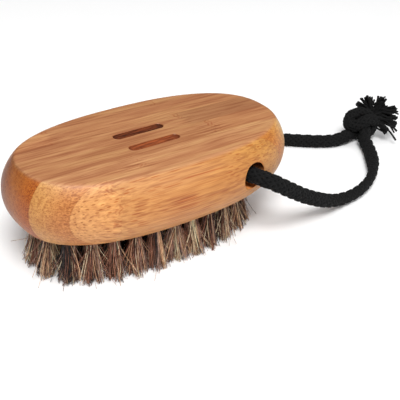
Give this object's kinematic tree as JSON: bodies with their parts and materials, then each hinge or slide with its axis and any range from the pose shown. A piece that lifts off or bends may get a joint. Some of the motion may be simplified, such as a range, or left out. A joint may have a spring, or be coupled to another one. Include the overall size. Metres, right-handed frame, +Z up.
{
  "type": "beard brush",
  "caption": "Palm-held oval beard brush: laminated bamboo block with a cross bore, natural bristle tufts and a knotted black braided hanging cord.",
  "frame": {"origin": "on the surface that the bristle tips stand on, under the middle of the block, which is the bottom centre of the brush without its cord", "axes": "+X along the block towards the end with the cord, +Y across the block to the back, +Z up from the bristle tips to the block's flat top"},
  "size_m": [0.1772, 0.0682, 0.0353],
  "materials": {
    "bamboo_light": "satin lacquered bamboo, pale strip",
    "bamboo_mid": "satin lacquered bamboo, honey strip",
    "bamboo_dark": "satin lacquered bamboo, brown strip",
    "bristle": "mixed natural hair, matt to slightly glossy",
    "cord": "matt black braided cotton"
  },
  "bodies": {
    "root": {"lamella_1": "bamboo_light", "lamella_2": "bamboo_mid", "lamella_3": "bamboo_dark", "lamella_4": "bamboo_dark", "lamella_5": "bamboo_mid", "lamella_6": "bamboo_light", "tuft_outer_01": "bristle", "tuft_outer_02": "bristle", "tuft_outer_03": "bristle", "tuft_outer_04": "bristle", "tuft_outer_05": "bristle", "tuft_outer_06": "bristle", "tuft_outer_07": "bristle", "tuft_outer_08": "bristle", "tuft_outer_09": "bristle", "tuft_outer_10": "bristle", "tuft_outer_11": "bristle", "tuft_outer_12": "bristle", "tuft_outer_13": "bristle", "tuft_outer_14": "bristle", "tuft_outer_15": "bristle", "tuft_outer_16": "bristle", "tuft_outer_17": "bristle", "tuft_outer_18": "bristle", "tuft_outer_19": "bristle", "tuft_outer_20": "bristle", "tuft_outer_21": "bristle", "tuft_outer_22": "bristle", "tuft_outer_23": "bristle", "tuft_outer_24": "bristle", "tuft_outer_25": "bristle", "tuft_outer_26": "bristle", "tuft_inner_01": "bristle", "tuft_inner_02": "bristle", "tuft_inner_03": "bristle", "tuft_inner_04": "bristle", "tuft_inner_05": "bristle", "tuft_inner_06": "bristle", "tuft_inner_07": "bristle", "tuft_inner_08": "bristle", "tuft_inner_09": "bristle", "tuft_inner_10": "bristle", "tuft_inner_11": "bristle", "tuft_inner_12": "bristle", "tuft_inner_13": "bristle", "tuft_inner_14": "bristle", "tuft_inner_15": "bristle", "tuft_inner_16": "bristle", "tuft_inner_17": "bristle", "tuft_middle_01": "bristle", "tuft_middle_02": "bristle", "tuft_middle_03": "bristle", "tuft_middle_04": "bristle", "tuft_middle_05": "bristle", "tuft_middle_06": "bristle", "cord_near": "cord", "cord_far": "cord", "cord_knot": "cord", "cord_tail_near": "cord", "cord_tail_far": "cord"}
  },
  "joints": []
}
